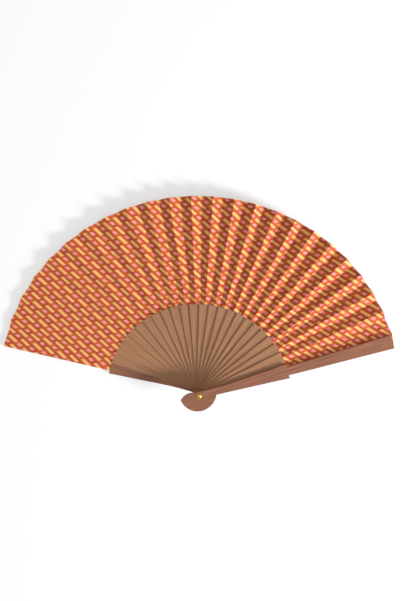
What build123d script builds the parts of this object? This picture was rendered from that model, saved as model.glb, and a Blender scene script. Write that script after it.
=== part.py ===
"""Folding hand fan: 22 ribs between two guards on one rivet, with a pleated cloth leaf.

Frame, in millimetres: the rivet's axis is Z and the rear guard's underside is z = 0. X runs to the
right, Y towards the rim, +Z towards the front of the fan. Sticks are counted from the front guard,
which is stick 0 at the right, to the rear guard, which is stick 23 at the left. Each stick lies one
layer under the one to its right. The fan is drawn open.
"""

from build123d import *
from math import cos, radians, sin, tan
import os

os.makedirs("parts", exist_ok=True)

# the sticks' directions, in degrees from +X
RIBS = 22
FRONT_ANGLE = 16.5      # centre line of the front guard
FRONT_GAP = 8.2         # front guard to rib 1
REAR_GAP = 7.4          # rib 22 to the rear guard
GAP_LEAST = 5.97        # the narrowest gap between ribs
GAP_SPREAD = 0.0065     # how the gaps widen away from rib 7

# thicknesses and levels
GUARD_T = 2.6           # a guard's thickness
RIB_T = 0.8             # a rib blade's thickness
PITCH = 0.9             # one layer of the stack, 0.1 of it clearance
LEAF_T = 0.2            # the cloth
LEAF_SEAT = 0.4         # the rear guard's blade is thinner by this, under the cloth
GUIDE_T = 0.42          # a rib's thin outer part, which the cloth is glued to
GUIDE_DROP = 0.23       # from a rib's top face down to its guide's top face

# outlines
ARM_ROOT = 2.4          # half the width of a stick's arm, drawn back to the rivet's axis
ARM_END = 7.8           # and at the shoulder
SHOULDER = 97.2         # from the rivet to the shoulder
BLADE_IN = 4.55         # half the width of a guard's blade beyond the shoulder
BLADE_OUT = 7.5         # and at its end
BLADE_END = 210.8       # from the rivet to a guard's end
RIB_HEAD = 5.0          # radius of a rib's round head
GUIDE_END = 209.0       # from the rivet to a guide's end
GUIDE_HALF = 0.95       # half a guide's width, in degrees at the rivet
ARM_CLEAR = 97.7        # nothing hangs under a rib's arm inside this radius

# the leaf
LEAF_IN = 98.2          # inner radius
LEAF_OUT = 212.5        # outer radius at the ridges
VALLEY_OUT = 211.0      # outer radius at the valleys
RIDGE_AT = 0.95         # a ridge stands this many degrees left of its rib's centre line
PANEL_RIGHT = 2.9       # a glued panel's width in degrees, at rib 2
PANEL_LEFT = 3.4        # and at rib 22
SLOPE_MOST = 0.48       # the steepest panel's fall across its width
SLOPE_LAST = 0.06       # rib 22's panel
SLOPE_STEP = 0.03       # each panel falls this much more than the one under it
SLOPE_FIRST = 0.25      # rib 1's panel, beside the front guard
SLOPE_IN = 0.6          # share of the slope at the leaf's inner edge

# the rivet
PIN_R = 1.5
HOLE_R = 1.55
WASHER_R = 3.1
WASHER_T = 0.4
DOME_R = 2.3
DOME_H = 1.0
TAIL_R = 3.1
TAIL_T = 0.7
TAIL_SINK = 0.05        # the tail sits this far inside the rear guard's face
SINK_R = 3.2


def stick_angles():
    """Direction of each stick's centre line: the front guard, ribs 1 to 22, the rear guard."""
    found = [FRONT_ANGLE, FRONT_ANGLE + FRONT_GAP]
    for j in range(1, RIBS):
        found.append(found[-1] + GAP_LEAST + GAP_SPREAD * (j - 7) ** 2)
    found.append(found[-1] + REAR_GAP)
    return found


ANGLES = stick_angles()


def top_of(k):
    """Height of rib k's top face."""
    return GUARD_T + (RIBS + 1 - k) * PITCH


def slope_of(k):
    """Fall across rib k's panel, per mm of its width."""
    if k == 1:
        return SLOPE_FIRST
    return min(SLOPE_MOST, SLOPE_LAST + SLOPE_STEP * (RIBS - k))


def panel_of(k):
    """Width of rib k's glued panel, in degrees."""
    return PANEL_RIGHT + (PANEL_LEFT - PANEL_RIGHT) * (k - 2) / (RIBS - 2)


def arm_half(x):
    """Half the width of an arm, x mm from the rivet."""
    return ARM_ROOT + (ARM_END - ARM_ROOT) * x / SHOULDER


def turned(shape, k):
    return Rot(0, 0, ANGLES[k]) * shape


def slab(edges, z, thick):
    """A plate with the outline of these edges, from z up."""
    face = Face(Wire(edges))
    return Pos(0, 0, z) * extrude(face, amount=thick, dir=(0, 0, 1))


def line(a, b):
    return Line((a[0], a[1]), (b[0], b[1])).edge()


def bow(a, m, b):
    return ThreePointArc((a[0], a[1]), (m[0], m[1]), (b[0], b[1])).edge()


# ---- the guards ----------------------------------------------------------------------------------
NOTCH = (18.3, -arm_half(18.3))     # where the head's round side meets the arm
CHIN = (-0.7, -16.5)                # lowest point of the head
NAPE = (-19.0, -2.0)
NOSE = (-19.7, 0.8)                 # the head's pointed end
CROWN = (-6.0, 5.3)
NECK = (38.0, arm_half(38.0))


def guard_head_and_arm():
    """Edges of a guard up to its shoulder, with the arm along +X."""
    low, high = (SHOULDER, -ARM_END), (SHOULDER, ARM_END)
    return [
        line(high, NECK),
        bow(NECK, (16.0, 4.2), CROWN),
        bow(CROWN, (-13.7, 4.7), NOSE),
        line(NOSE, NAPE),
        bow(NAPE, (-11.8, -12.9), CHIN),
        bow(CHIN, (11.1, -12.3), NOTCH),
        line(NOTCH, low),
        line(low, high),
    ]


def guard_blade(z, thick):
    a, b = (SHOULDER - 1.0, -BLADE_IN), (BLADE_END, -BLADE_OUT)
    c, d = (BLADE_END, BLADE_OUT), (SHOULDER - 1.0, BLADE_IN)
    return slab([line(a, b), line(b, c), line(c, d), line(d, a)], z, thick)


def rear_guard():
    body = slab(guard_head_and_arm(), 0, GUARD_T) + guard_blade(0, GUARD_T - LEAF_SEAT)
    body -= Pos(0, 0, GUARD_T / 2) * Cylinder(HOLE_R, 2 * GUARD_T)
    body -= Pos(0, 0, (TAIL_T + TAIL_SINK) / 2) * Cylinder(SINK_R, TAIL_T + TAIL_SINK)
    return turned(body, RIBS + 1)


FRONT_Z = top_of(1) + PITCH - RIB_T     # the front guard's underside


def front_guard():
    blade = guard_blade(FRONT_Z + LEAF_T, GUARD_T - LEAF_T)
    body = slab(guard_head_and_arm(), FRONT_Z, GUARD_T) + blade
    body -= Pos(0, 0, FRONT_Z + GUARD_T / 2) * Cylinder(HOLE_R, 2 * GUARD_T)
    return turned(body, 0)


# ---- the ribs ------------------------------------------------------------------------------------
def prism(x0, near, x1, far):
    """A solid between two flat sections, each a list of (y, z) at its own distance x."""
    ends = []
    for x, points in ((x0, near), (x1, far)):
        wire = Wire.make_polygon([Vector(x, y, z) for y, z in points], close=True)
        ends.append(Face(wire))
    return Solid.make_loft([f.outer_wire() for f in ends], ruled=True)


def guide_section(x, k, slope):
    half = x * tan(radians(GUIDE_HALF))
    top = top_of(k) - GUIDE_DROP
    fall = slope * 2 * half
    return [(half, top), (-half, top - fall), (-half, top - fall - GUIDE_T), (half, top - GUIDE_T)]


def rib(k):
    root, end = (0.0, ARM_ROOT), (SHOULDER, ARM_END)
    low, low_end = (0.0, -ARM_ROOT), (SHOULDER, -ARM_END)
    arm = slab([line(end, root), line(root, low), line(low, low_end), line(low_end, end)],
               top_of(k) - RIB_T, RIB_T)
    head = Pos(0, 0, top_of(k) - RIB_T / 2) * Cylinder(RIB_HEAD, RIB_T)
    near = guide_section(SHOULDER, k, SLOPE_IN * slope_of(k))
    far = guide_section(GUIDE_END, k, slope_of(k))
    body = arm + head + prism(SHOULDER, near, GUIDE_END, far)
    body -= Pos(0, 0, top_of(k)) * Cylinder(HOLE_R, 4 * RIB_T)
    # the guide's low corner stays clear of the next rib's arm as the fan folds
    body -= Pos(0, 0, top_of(k) - RIB_T - 2.0) * Cylinder(ARM_CLEAR, 4.0)
    return turned(body, k)


# ---- the leaf ------------------------------------------------------------------------------------
def ray(angle, radius, z):
    return (radius * cos(radians(angle)), radius * sin(radians(angle)), z)


def ridge(k, radius):
    """Point on the ridge at rib k. The front guard's ridge follows the edge of its blade."""
    if k == 0:
        share = (radius - LEAF_IN) / (LEAF_OUT - LEAF_IN)
        half = BLADE_IN + (BLADE_OUT - BLADE_IN) * share + 0.4
        return ray(ANGLES[0] + 57.2958 * half / radius, radius, FRONT_Z + LEAF_T)
    return ray(ANGLES[k] + RIDGE_AT, radius, top_of(k))


def valley(k, radius, outer):
    """Point on the valley at the right of rib k's panel."""
    if k == RIBS + 1:
        return ray(ANGLES[k] - 3.1, radius, GUARD_T - LEAF_SEAT + LEAF_T)
    width = radians(panel_of(k)) * radius
    slope = slope_of(k) if outer else SLOPE_IN * slope_of(k)
    return ray(ANGLES[k] + RIDGE_AT - panel_of(k), radius, top_of(k) - slope * width)


def panel(a, b, c, d):
    """A sheet LEAF_T thick under the ruled surface from line a-b, inner to outer, to line d-c."""
    drop = Vector(0, 0, -LEAF_T)
    top = [Vector(*p) for p in (a, b, c, d)]
    low = [p + drop for p in top]
    faces = [Face.make_surface_from_curves(Edge.make_line(q[0], q[1]), Edge.make_line(q[3], q[2]))
             for q in (top, low)]
    for i in range(4):
        j = (i + 1) % 4
        ring = [top[i], top[j], low[j], low[i]]
        faces.append(Face(Wire.make_polygon(ring, close=True)))
    return Solid(Shell(faces))


def pleat(k):
    """Rib k's glued panel and the free panel on its left, which runs down to the next valley."""
    edge = ridge(k, LEAF_IN), ridge(k, LEAF_OUT)
    next_low = valley(k + 1, LEAF_IN, False), valley(k + 1, VALLEY_OUT, True)
    if k == 0:
        z = FRONT_Z + LEAF_T
        glued = ray(ANGLES[0] - 2.0, LEAF_IN, z), ray(ANGLES[0] - 1.6, VALLEY_OUT, z)
    else:
        glued = valley(k, LEAF_IN, False), valley(k, VALLEY_OUT, True)
    return panel(*edge, glued[1], glued[0]) + panel(*edge, next_low[1], next_low[0])


def last_panel():
    """The end of the leaf, flat on the rear guard's blade."""
    k, z = RIBS + 1, GUARD_T - LEAF_SEAT + LEAF_T
    low_in, low_out = valley(k, LEAF_IN, False), valley(k, VALLEY_OUT, True)
    high_in = ray(ANGLES[k] + 57.2958 * BLADE_IN / LEAF_IN, LEAF_IN, z)
    high_out = ray(ANGLES[k] + 57.2958 * BLADE_OUT / LEAF_OUT, LEAF_OUT, z)
    return panel(high_in, high_out, low_out, low_in)


# ---- the rivet -----------------------------------------------------------------------------------
FACE_Z = FRONT_Z + GUARD_T                  # the front guard's face
WASHER_Z = FACE_Z + 0.05
HEAD_Z = WASHER_Z + WASHER_T


def rivet():
    tail_top = TAIL_SINK + TAIL_T
    tail = Pos(0, 0, TAIL_SINK + TAIL_T / 2) * Cylinder(TAIL_R, TAIL_T)
    pin = Pos(0, 0, (tail_top + HEAD_Z) / 2) * Cylinder(PIN_R, HEAD_Z - tail_top)
    washer = Cylinder(WASHER_R, WASHER_T) - Cylinder(HOLE_R, 2 * WASHER_T)
    washer = Pos(0, 0, WASHER_Z + WASHER_T / 2) * washer
    ball = (DOME_R ** 2 + DOME_H ** 2) / (2 * DOME_H)
    dome = Pos(0, 0, DOME_H - ball) * Sphere(ball)
    dome &= Pos(0, 0, DOME_H / 2) * Cylinder(2 * DOME_R, DOME_H)
    dome -= Pos(0, 0, DOME_H) * Cylinder(0.5, 0.6)
    return {"rivet_tail": tail, "rivet_pin": pin, "rivet_washer": washer,
            "rivet_head": Pos(0, 0, HEAD_Z) * dome}


# ---- write every piece ---------------------------------------------------------------------------
pieces = {"front_guard": front_guard(), "rear_guard": rear_guard()}
for k in range(1, RIBS + 1):
    pieces[f"rib_{k:02d}"] = rib(k)
for k in range(RIBS + 1):
    pieces[f"leaf_pleat_{k:02d}"] = pleat(k)
pieces[f"leaf_pleat_{RIBS + 1:02d}"] = last_panel()
pieces.update(rivet())

for name, shape in pieces.items():
    solids = shape.solids()
    if len(solids) != 1:
        raise ValueError(f"{name} has {len(solids)} solids")
    solids[0].label = name
    export_step(solids[0], f"parts/{name}.step")
print(len(pieces), "pieces, sticks at", [round(a, 2) for a in ANGLES])
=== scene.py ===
# %% [markdown]
# # A folding hand fan
# A fan is a stack of thin wooden sticks on one rivet, with a strip of printed cotton glued across
# them and creased so that it folds away as the sticks close. This lesson dresses a fan that is
# already drawn to size: the wood and brass keep their shapes and get finishes, and the cloth is
# modelled here. X is right, Y is towards the rim, Z is up, in metres, and the rivet is the Z axis.

# %% Load the frame
import bpy
from math import radians, atan, pi
from mathutils import Vector, Matrix


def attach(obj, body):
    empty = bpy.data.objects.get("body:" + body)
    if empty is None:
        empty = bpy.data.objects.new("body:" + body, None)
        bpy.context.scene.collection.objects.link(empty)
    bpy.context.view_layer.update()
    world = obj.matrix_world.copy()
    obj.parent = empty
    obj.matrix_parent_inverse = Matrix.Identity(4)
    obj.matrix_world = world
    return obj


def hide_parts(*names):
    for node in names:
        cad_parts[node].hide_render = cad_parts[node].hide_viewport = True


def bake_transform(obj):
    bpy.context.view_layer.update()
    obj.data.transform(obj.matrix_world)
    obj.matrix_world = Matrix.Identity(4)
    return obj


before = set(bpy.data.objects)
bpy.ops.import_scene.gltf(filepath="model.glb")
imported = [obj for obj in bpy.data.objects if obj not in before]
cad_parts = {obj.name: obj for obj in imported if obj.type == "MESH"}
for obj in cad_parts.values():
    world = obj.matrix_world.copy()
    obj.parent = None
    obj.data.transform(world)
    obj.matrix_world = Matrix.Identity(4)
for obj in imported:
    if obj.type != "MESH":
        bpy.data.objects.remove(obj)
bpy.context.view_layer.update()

# %% [markdown]
# ## Where the sticks lie
# The sticks fan out from the rivet, closest together near the right and wider towards the left.
# Two dozen angles could be typed in as a list, but one rule for the gap between neighbours is
# shorter and shows how the fan is spread. Lengths are in mm and angles in degrees, as drawn.

# %% The sticks' directions
MM = 0.001
RIBS = 22
FRONT_ANGLE, FRONT_GAP, REAR_GAP = 16.5, 8.2, 7.4
LEAST_GAP, GAP_SPREAD, CLOSEST_RIB = 5.97, 0.0065, 7
BODIES = ["front_guard"] + [f"rib_{k:02d}" for k in range(1, RIBS + 1)] + ["rear_guard"]


def stick_angles():
    """Each stick's direction from +X, from the front guard to the rear guard."""
    found = [FRONT_ANGLE, FRONT_ANGLE + FRONT_GAP]
    for j in range(1, RIBS):
        found.append(found[-1] + LEAST_GAP + GAP_SPREAD * (j - CLOSEST_RIB) ** 2)
    return found + [found[-1] + REAR_GAP]


ANGLES = stick_angles()
print("sticks at", [round(a, 1) for a in ANGLES])

# %% [markdown]
# ## How high the sticks lie
# Every stick lies one layer under the one on its right, so the cloth climbs like a long stair
# from the rear guard up to the front guard. The glued panels are nearly level on the left and
# tilt more and more towards the right. These helpers give the level, the tilt and the width of
# the glued panel for stick number k, and turn an angle and a radius into a point.

# %% Levels and places
GUARD_T, LAYER = 2.6, 0.9
MOST_TILT, FIRST_TILT = 0.48, 0.25


def top_of(k):
    """The top face of rib k."""
    return GUARD_T + (RIBS + 1 - k) * LAYER


def slope_of(k):
    """How steeply the panel glued to rib k falls away to the right at the rim."""
    return FIRST_TILT if k == 1 else min(MOST_TILT, 0.06 + 0.03 * (RIBS - k))


def panel_of(k):
    """The width of the panel glued to rib k, in degrees at the rivet."""
    return 2.9 + 0.5 * (k - 2) / (RIBS - 2)


def ray(angle, radius, z):
    """The point at this angle and radius from the rivet."""
    return Vector((radius, 0, z)) @ Matrix.Rotation(-radians(angle), 3, "Z")


print("levels from", top_of(RIBS), "to", top_of(1))

# %% [markdown]
# ## Helpers for materials
# A material is a small graph of nodes. Colours are written as sRGB hex, as on a paint card, but
# the shader works in linear light, so one function turns them. Another adds a node, sets it and
# links it in a single line, which keeps each recipe short enough to read.

# %% Colours and nodes
def linear(hex_code):
    """sRGB hex to linear RGBA."""
    parts = [int(hex_code[i:i + 2], 16) / 255 for i in (0, 2, 4)]
    light = [c / 12.92 if c <= 0.04045 else ((c + 0.055) / 1.055) ** 2.4 for c in parts]
    return light + [1.0]


def add(mat, kind, inputs=None, **settings):
    """One node with its settings, and its inputs set or linked."""
    node = mat.node_tree.nodes.new(kind)
    for name, value in settings.items():
        setattr(node, name, value)
    for name, value in (inputs or {}).items():
        if isinstance(value, bpy.types.NodeSocket):
            mat.node_tree.links.new(value, node.inputs[name])
        else:
            node.inputs[name].default_value = value
    return node


def new_material(name):
    mat = bpy.data.materials.new(name)
    mat.use_nodes = True
    return mat, mat.node_tree.nodes["Principled BSDF"]


print("rust in linear light", [round(c, 3) for c in linear("B23C0C")])

# %% [markdown]
# ## Pear wood
# Fan sticks are sawn thin from a close-grained wood such as pear, sanded, and oiled or stained.
# The eye gets fine straight lines along the stick and a soft sheen. A wave texture would give
# rings like planks, so a noise is stretched along the stick instead: it reads the piece's own
# grain map, in metres, so that the grain turns with the stick.

# %% Oiled and stained wood
GRAIN_SCALE = (25, 900, 1)      # per metre: streaks 40 mm long, about 1 mm apart


def wood(name, light, dark, seed):
    """Pear wood, sawn thin, sanded and oiled: fine grain along the stick, a soft sheen."""
    mat, bsdf = new_material(name)
    place = add(mat, "ShaderNodeUVMap", uv_map="grain").outputs["UV"]
    stretch = add(mat, "ShaderNodeMapping",
                  {"Vector": place, "Scale": GRAIN_SCALE, "Location": (seed, 0, 0)})
    fine = add(mat, "ShaderNodeTexNoise",
               {"Vector": stretch.outputs[0], "Scale": 1.0, "Detail": 5.0})
    ramp = add(mat, "ShaderNodeValToRGB", {"Fac": fine.outputs["Fac"]})
    first, last = ramp.color_ramp.elements
    first.position, last.position = 0.3, 0.72
    first.color, last.color = linear(dark), linear(light)
    bump = add(mat, "ShaderNodeBump",
               {"Height": fine.outputs["Fac"], "Strength": 0.12, "Distance": 0.0002})
    links = mat.node_tree.links
    links.new(ramp.outputs["Color"], bsdf.inputs["Base Color"])
    links.new(bump.outputs["Normal"], bsdf.inputs["Normal"])
    bsdf.inputs["Roughness"].default_value = 0.5
    return mat


RIB_WOOD = wood("oiled_pear_wood", "B5835C", "8F6040", 0.0)
GUARD_WOOD = wood("stained_pear_wood", "A06A4E", "7C4A36", 7.0)
print("woods", RIB_WOOD.name, GUARD_WOOD.name)

# %% [markdown]
# ## Printed cotton
# The leaf is plain-weave cotton with a screen print of long cream and short pink bars on rust.
# The print was made on flat cloth before it was creased, so it is drawn on the cloth's flat map
# and runs on over the folds. The rows slant down to the right; each is a strip of constant
# depth, and each one starts a little further along than the last, so the bars don't line up.

# %% The print and the weave
ROW_ALONG, ROW_ACROSS = 0.848, 0.53     # cosine and sine of the rows' slant, 32 degrees
ROW_DEPTH = 0.0058                      # metres from row to row
REPEAT = 0.021                          # metres from one long bar to the next
ROW_SHIFT = 0.41                        # of a repeat, from one row to the next
END_SLANT = 0.16                        # of a repeat, by which a bar's ends lean
THREADS = 2800.0                        # per metre: coarser than real ones, so that they show


def printed_cotton():
    """Plain-weave cotton with a screen print: long cream, short pink slanted bars on rust."""
    mat, bsdf = new_material("printed_cotton")
    links = mat.node_tree.links
    uv = add(mat, "ShaderNodeUVMap", uv_map="flat").outputs["UV"]

    def maths(kind, a, b=0.0, c=0.0):
        return add(mat, "ShaderNodeMath", {0: a, 1: b, 2: c}, operation=kind).outputs[0]

    def turned(x_share, y_share):
        return maths("ADD", maths("MULTIPLY", flat_x, x_share), maths("MULTIPLY", flat_y, y_share))

    def between(value, a, b):
        return maths("MULTIPLY", maths("GREATER_THAN", value, a), maths("LESS_THAN", value, b))

    def over(share, below, above):
        mix = add(mat, "ShaderNodeMix", {0: share, 6: below, 7: above}, data_type="RGBA")
        return mix.outputs[2]

    split = add(mat, "ShaderNodeSeparateXYZ", {"Vector": uv})
    flat_x, flat_y = split.outputs[0], split.outputs[1]
    row = maths("DIVIDE", turned(ROW_ACROSS, ROW_ALONG), ROW_DEPTH)
    step = maths("FLOOR", row)
    in_row = maths("FRACT", row)
    along = maths("DIVIDE", turned(ROW_ALONG, -ROW_ACROSS), REPEAT)
    shifted = maths("ADD", along, maths("MULTIPLY", step, ROW_SHIFT))
    cell = maths("FRACT", maths("ADD", shifted, maths("MULTIPLY", in_row, -END_SLANT)))

    cream_bar = maths("MULTIPLY", between(cell, 0.03, 0.55), between(in_row, 0.27, 0.75))
    pink_bar = maths("MULTIPLY", between(cell, 0.66, 0.88), between(in_row, 0.25, 0.77))
    every_other = maths("GREATER_THAN", maths("FRACT", maths("MULTIPLY", step, 0.5)), 0.4)
    ground = over(every_other, linear("B23C0C"), linear("C65412"))
    with_cream = over(cream_bar, ground, linear("EDB66C"))
    links.new(over(pink_bar, with_cream, linear("E8938A")), bsdf.inputs["Base Color"])
    bsdf.inputs["Roughness"].default_value = 0.85
    bsdf.inputs["Sheen Weight"].default_value = 0.25
    weave = add(mat, "ShaderNodeTexVoronoi", {"Vector": uv, "Scale": THREADS})
    bump = add(mat, "ShaderNodeBump",
               {"Height": weave.outputs["Distance"], "Strength": 0.15, "Distance": 0.0001})
    links.new(bump.outputs["Normal"], bsdf.inputs["Normal"])
    return mat


COTTON = printed_cotton()
print("cloth", COTTON.name, "with", len(COTTON.node_tree.nodes), "nodes")

# %% [markdown]
# ## Brass
# The rivet is turned brass, tumbled until it is bright but not a mirror. A metal's colour is all
# in its reflection, so it is fully metallic, and its roughness blurs what it reflects.

# %% Tumbled brass
def polished_brass():
    """Turned and tumbled brass."""
    mat, bsdf = new_material("polished_brass")
    bsdf.inputs["Base Color"].default_value = linear("E0B25A")
    bsdf.inputs["Metallic"].default_value = 1.0
    bsdf.inputs["Roughness"].default_value = 0.28
    return mat


BRASS = polished_brass()
print("materials", [m.name for m in bpy.data.materials])

# %% [markdown]
# ## Sticks and rivet
# Real sticks have edges eased by sanding, and light catches on them. The drawn shapes have sharp
# edges, so each gets a narrow bevel as a modifier, which leaves the shape underneath alone. The
# grain map lays each stick along one axis and shifts it by its angle, so no two look the same.

# %% Map the grain
GRAIN_SHIFT = 0.01      # metres of grain between sticks one degree apart


def grain_map(obj, angle):
    """UV in metres, u along the stick and v across it."""
    layer = obj.data.uv_layers.new(name="grain")
    back = Matrix.Rotation(-radians(angle), 3, "Z")
    for loop in obj.data.loops:
        p = back @ obj.data.vertices[loop.vertex_index].co
        layer.data[loop.index].uv = (p.x, p.y + p.z + angle * GRAIN_SHIFT)


def dress(node, material, bevel):
    """Gives a drawn piece its finish and eases its edges by this many mm."""
    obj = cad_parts[node]
    obj.data.materials.clear()
    obj.data.materials.append(material)
    cut = obj.modifiers.new("eased_edges", "BEVEL")
    cut.width, cut.segments, cut.limit_method = bevel * MM, 2, "ANGLE"
    cut.angle_limit = radians(40)
    return obj


# %% Dress the sticks and the rivet
GUARD_EASE, RIB_EASE, BRASS_EASE = 0.35, 0.12, 0.1
for k, body in enumerate(BODIES):
    guard = "guard" in body
    wooden, ease = (GUARD_WOOD, GUARD_EASE) if guard else (RIB_WOOD, RIB_EASE)
    grain_map(dress(body, wooden, ease), ANGLES[k])
for name in ("rivet_pin", "rivet_tail", "rivet_washer", "rivet_head"):
    dress(name, BRASS, BRASS_EASE)
print("sticks dressed", len(BODIES))

# %% [markdown]
# ## The fold lines
# The cloth is creased along straight lines that all point at the rivet: a ridge on each stick,
# and a valley beside it where the glued panel ends. A line is enough to say where a crease lies,
# so these functions give its inner and outer ends, and the panels are stretched between them.
# The cloth starts 0.8 mm nearer the rivet than in the drawing, so that it meets the sticks' arms.

# %% Ridges and valleys
LEAF_IN, RIDGE_OUT, VALLEY_OUT = 97.4, 212.5, 211.0     # the cloth's inner edge and its rim
RIDGE_AT = 0.95                 # degrees from a rib's centre line to its ridge
LEAF_T = 0.2                    # room that the cloth takes
FRONT_Z = 22.5                  # the front guard's underside at its arm
BLADE_NEAR, BLADE_GAIN = 4.55, 2.95     # the front blade's half width, and its gain to the rim
BLADE_LAP = 0.4                 # the first ridge shows this far past the blade
SEAT_TOP = 2.4                  # the cloth on the rear guard
LAST_VALLEY = 3.1               # degrees to the right of the rear guard's centre line
FRONT_END = (2.0, 1.6)          # right of the front guard's centre line: inner edge, rim
REAR_END = (2.65, 2.03)         # left of the rear guard's centre line: inner edge, rim


def ridge(k, radius):
    """The crease on top of stick k."""
    if k == 0:
        half = BLADE_NEAR + BLADE_GAIN * (radius - LEAF_IN) / (RIDGE_OUT - LEAF_IN) + BLADE_LAP
        return ray(ANGLES[0] + half / radius * 180 / pi, radius, FRONT_Z + LEAF_T)
    return ray(ANGLES[k] + RIDGE_AT, radius, top_of(k))


def valley(k, radius):
    """The crease to the right of stick k."""
    if k == RIBS + 1:
        return ray(ANGLES[k] - LAST_VALLEY, radius, SEAT_TOP)
    share = (radius - LEAF_IN) / (VALLEY_OUT - LEAF_IN)
    slope = slope_of(k) * (0.6 + 0.4 * share)
    width = radians(panel_of(k)) * radius
    return ray(ANGLES[k] + RIDGE_AT - panel_of(k), radius, top_of(k) - slope * width)


def lines_of(k):
    """The pleat's fold lines from right to left, each as (inner point, outer point)."""
    if k == 0:
        level = FRONT_Z + LEAF_T
        right = (ray(ANGLES[0] - FRONT_END[0], LEAF_IN, level),
                 ray(ANGLES[0] - FRONT_END[1], VALLEY_OUT, level))
    else:
        right = (valley(k, LEAF_IN), valley(k, VALLEY_OUT))
    if k == RIBS + 1:
        return [right, (ray(ANGLES[k] + REAR_END[0], LEAF_IN, SEAT_TOP),
                        ray(ANGLES[k] + REAR_END[1], RIDGE_OUT, SEAT_TOP))]
    left = (ridge(k, LEAF_IN), ridge(k, RIDGE_OUT))
    return [right, left, (valley(k + 1, LEAF_IN), valley(k + 1, VALLEY_OUT))]


print("creases", sum(len(lines_of(k)) - 1 for k in range(RIBS + 2)))

# %% [markdown]
# ## One pleat
# A pleat is the panel glued to a stick and the free panel on its left. It starts as a flat grid
# with one column of faces for each panel. Every point knows its column and how far out it is, so
# it can be moved onto the folded cloth, and its place in the flat map is the same point before
# folding. Solidify then gives the cloth a thickness downwards, away from the face that shows.

# %% Fold a pleat
ROWS = 24               # faces from the inner edge to the rim
CLOTH = 0.18            # thickness of the cloth in mm


def pleat(k, flat_start):
    """Returns the pleat, the flat sheet's angle where it ends, and its width at the rim."""
    lines = lines_of(k)
    bpy.ops.object.select_all(action="DESELECT")
    bpy.ops.mesh.primitive_grid_add(x_subdivisions=len(lines) - 1, y_subdivisions=ROWS, size=1)
    obj = bpy.context.object
    obj.name = f"leaf_{k:02d}"
    angles = [flat_start]
    for a, b in zip(lines, lines[1:]):
        angles.append(angles[-1] + (a[1] - b[1]).length / RIDGE_OUT)
    flat = obj.data.uv_layers.active
    flat.name = "flat"
    uv = {}
    for vertex in obj.data.vertices:
        column = round((vertex.co.x + 0.5) * (len(lines) - 1))
        share = vertex.co.y + 0.5
        inner, outer = lines[column]
        radius = (LEAF_IN + (RIDGE_OUT - LEAF_IN) * share) * MM
        uv[vertex.index] = Vector((radius, 0)) @ Matrix.Rotation(-angles[column], 2)
        vertex.co = inner.lerp(outer, share) * MM
    for loop in obj.data.loops:
        flat.data[loop.index].uv = uv[loop.vertex_index]
    obj.data.materials.append(COTTON)
    if obj.data.polygons[0].normal.z < 0:
        obj.data.flip_normals()
    thick = obj.modifiers.new("cloth", "SOLIDIFY")
    thick.thickness, thick.offset = CLOTH * MM, -1
    bpy.ops.object.modifier_apply(modifier=thick.name)
    return obj, angles[-1], RIDGE_OUT * (angles[-1] - angles[0]) * MM


print("a pleat has", ROWS, "rows of faces")

# %% [markdown]
# ## The whole leaf
# The pleats are made from right to left, and each starts in the flat map where the last one
# ended, so the print runs on. A pleat spans two sticks: its glued panel lies on its own stick,
# and its free panel reaches over to the next; these pleats stay where they are made. The last one
# lies flat on the rear guard and simply rides on it.

# %% Make the leaf
flat_at = radians(ANGLES[0])
leaf = []
for k in range(RIBS + 2):
    piece, flat_at, wide = pleat(k, flat_at)
    leaf.append(piece)
    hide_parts(f"leaf_pleat_{k:02d}")
    if k == RIBS + 1:
        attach(piece, "rear_guard")
    else:
        right, left, far = lines_of(k)
        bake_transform(piece)
print("pleats", len(leaf))

# %% [markdown]
# ## Floor
# The fan lies on plain white paper. On a lit table the paper glows a little from below and the
# shadows on it stay faint. A Light Path node does that without more light on the fan: the paper
# is part glow for the camera and for gloss, and plain white paper for all other light.

# %% White paper
GLOW_SHARE = 0.55
bpy.ops.object.select_all(action="DESELECT")
bpy.ops.mesh.primitive_plane_add(size=6, location=(0, 0, -0.0002))
floor = bpy.context.object
floor.name = "pale_floor"
paper, bsdf = new_material("white_paper")
bsdf.inputs["Base Color"].default_value = linear("FFFFFF")
bsdf.inputs["Roughness"].default_value = 0.9
ray_kind = add(paper, "ShaderNodeLightPath").outputs
seen = add(paper, "ShaderNodeMath", {0: ray_kind["Is Camera Ray"], 1: ray_kind["Is Glossy Ray"]},
           operation="MAXIMUM")
seen = add(paper, "ShaderNodeMath", {0: seen.outputs[0], 1: ray_kind["Is Transmission Ray"]},
           operation="MAXIMUM")
share = add(paper, "ShaderNodeMath", {0: seen.outputs[0], 1: GLOW_SHARE}, operation="MULTIPLY")
glow = add(paper, "ShaderNodeEmission", {"Strength": 1.0})
both = add(paper, "ShaderNodeMixShader",
           {0: share.outputs[0], 1: bsdf.outputs[0], 2: glow.outputs[0]})
surface = paper.node_tree.nodes["Material Output"].inputs["Surface"]
paper.node_tree.links.new(both.outputs[0], surface)
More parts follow.
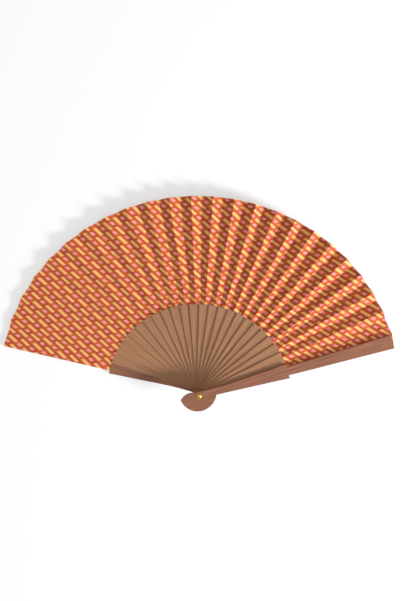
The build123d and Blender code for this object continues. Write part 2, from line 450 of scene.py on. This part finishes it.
floor.data.materials.append(paper)
print("floor", floor.name)

# %% [markdown]
# ## Light
# A low lamp from the right rakes over the creases, so that every panel facing it is bright and
# every panel facing away is deep. A broad, weak lamp from above and an even white world fill the
# shadows. Each lamp is aimed at the middle of the fan.

# %% Lamps and world
MIDDLE = Vector((0, 0.08, 0))


def softbox(name, place, power, size):
    light = bpy.data.lights.new(name, "AREA")
    light.energy, light.size = power, size
    obj = bpy.data.objects.new(name, light)
    bpy.context.scene.collection.objects.link(obj)
    obj.location = place
    obj.rotation_euler = (MIDDLE - Vector(place)).to_track_quat("-Z", "Y").to_euler()


softbox("key_from_the_right", (1.5, -0.5, 0.62), 46, 0.35)
softbox("fill_from_above", (-0.3, 0.4, 1.9), 6, 1.8)
world = bpy.data.worlds.new("studio")
bpy.context.scene.world = world
world.use_nodes = True
world.node_tree.nodes["Background"].inputs["Color"].default_value = (1, 1, 1, 1)
world.node_tree.nodes["Background"].inputs["Strength"].default_value = 0.42
print("lamps", [light.name for light in bpy.data.lights])

# %% [markdown]
# ## Camera
# The fan is seen from nearly straight above, tilted 15.5 degrees towards the rim. The camera's
# axes are worked out from the direction that it looks back along, which sets its place and its
# turn in one matrix. The long side of the picture covers 632 mm at the point it aims at.

# %% Place the camera
DISTANCE = 1.5
HALF_VIEW = 0.316
AIM = Vector((0.0018, 0.0979, 0.0))
back = Vector((-0.005, 0.267, 0.9636)).normalized()
camera_data = bpy.data.cameras.new("camera")
camera = bpy.data.objects.new("camera", camera_data)
bpy.context.scene.collection.objects.link(camera)
bpy.context.scene.camera = camera
camera.location = AIM + back * DISTANCE
up = (Vector((0, 1, 0)) - back * back.y).normalized()
right = up.cross(back)
turn = Matrix((right, up, back)).transposed().to_4x4()
camera.matrix_world = Matrix.Translation(camera.location) @ turn
camera_data.sensor_fit = "VERTICAL"
camera_data.angle = 2 * atan(HALF_VIEW / DISTANCE)
bpy.context.scene.view_settings.view_transform = "Standard"
print("camera at", [round(v, 3) for v in camera.location])
